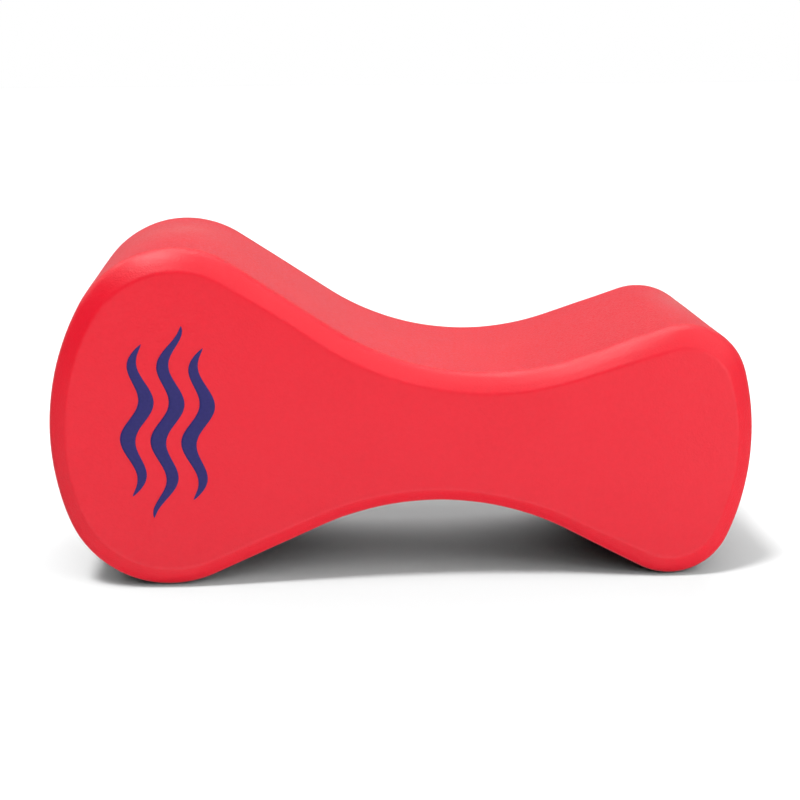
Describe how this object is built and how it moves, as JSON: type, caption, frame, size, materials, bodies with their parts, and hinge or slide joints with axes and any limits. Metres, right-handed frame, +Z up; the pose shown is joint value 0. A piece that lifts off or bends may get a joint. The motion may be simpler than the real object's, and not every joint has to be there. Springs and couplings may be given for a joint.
{
  "type": "pull buoy",
  "caption": "Figure-of-eight block of closed-cell foam with chamfered faces, held between the thighs to float a swimmer's legs.",
  "frame": {"origin": "on the ground, under the middle of the block as it stands on its two lobes", "axes": "+X runs along the block from the large lobe to the small one, +Y from the printed face to the plain one, +Z up"},
  "size_m": [0.2398, 0.1082, 0.1158],
  "materials": {
    "eva_foam": "matte",
    "print_ink": "matte"
  },
  "bodies": {
    "root": {"foam_body": "eva_foam", "print_wave_1": "print_ink", "print_wave_2": "print_ink", "print_wave_3": "print_ink"}
  },
  "joints": []
}
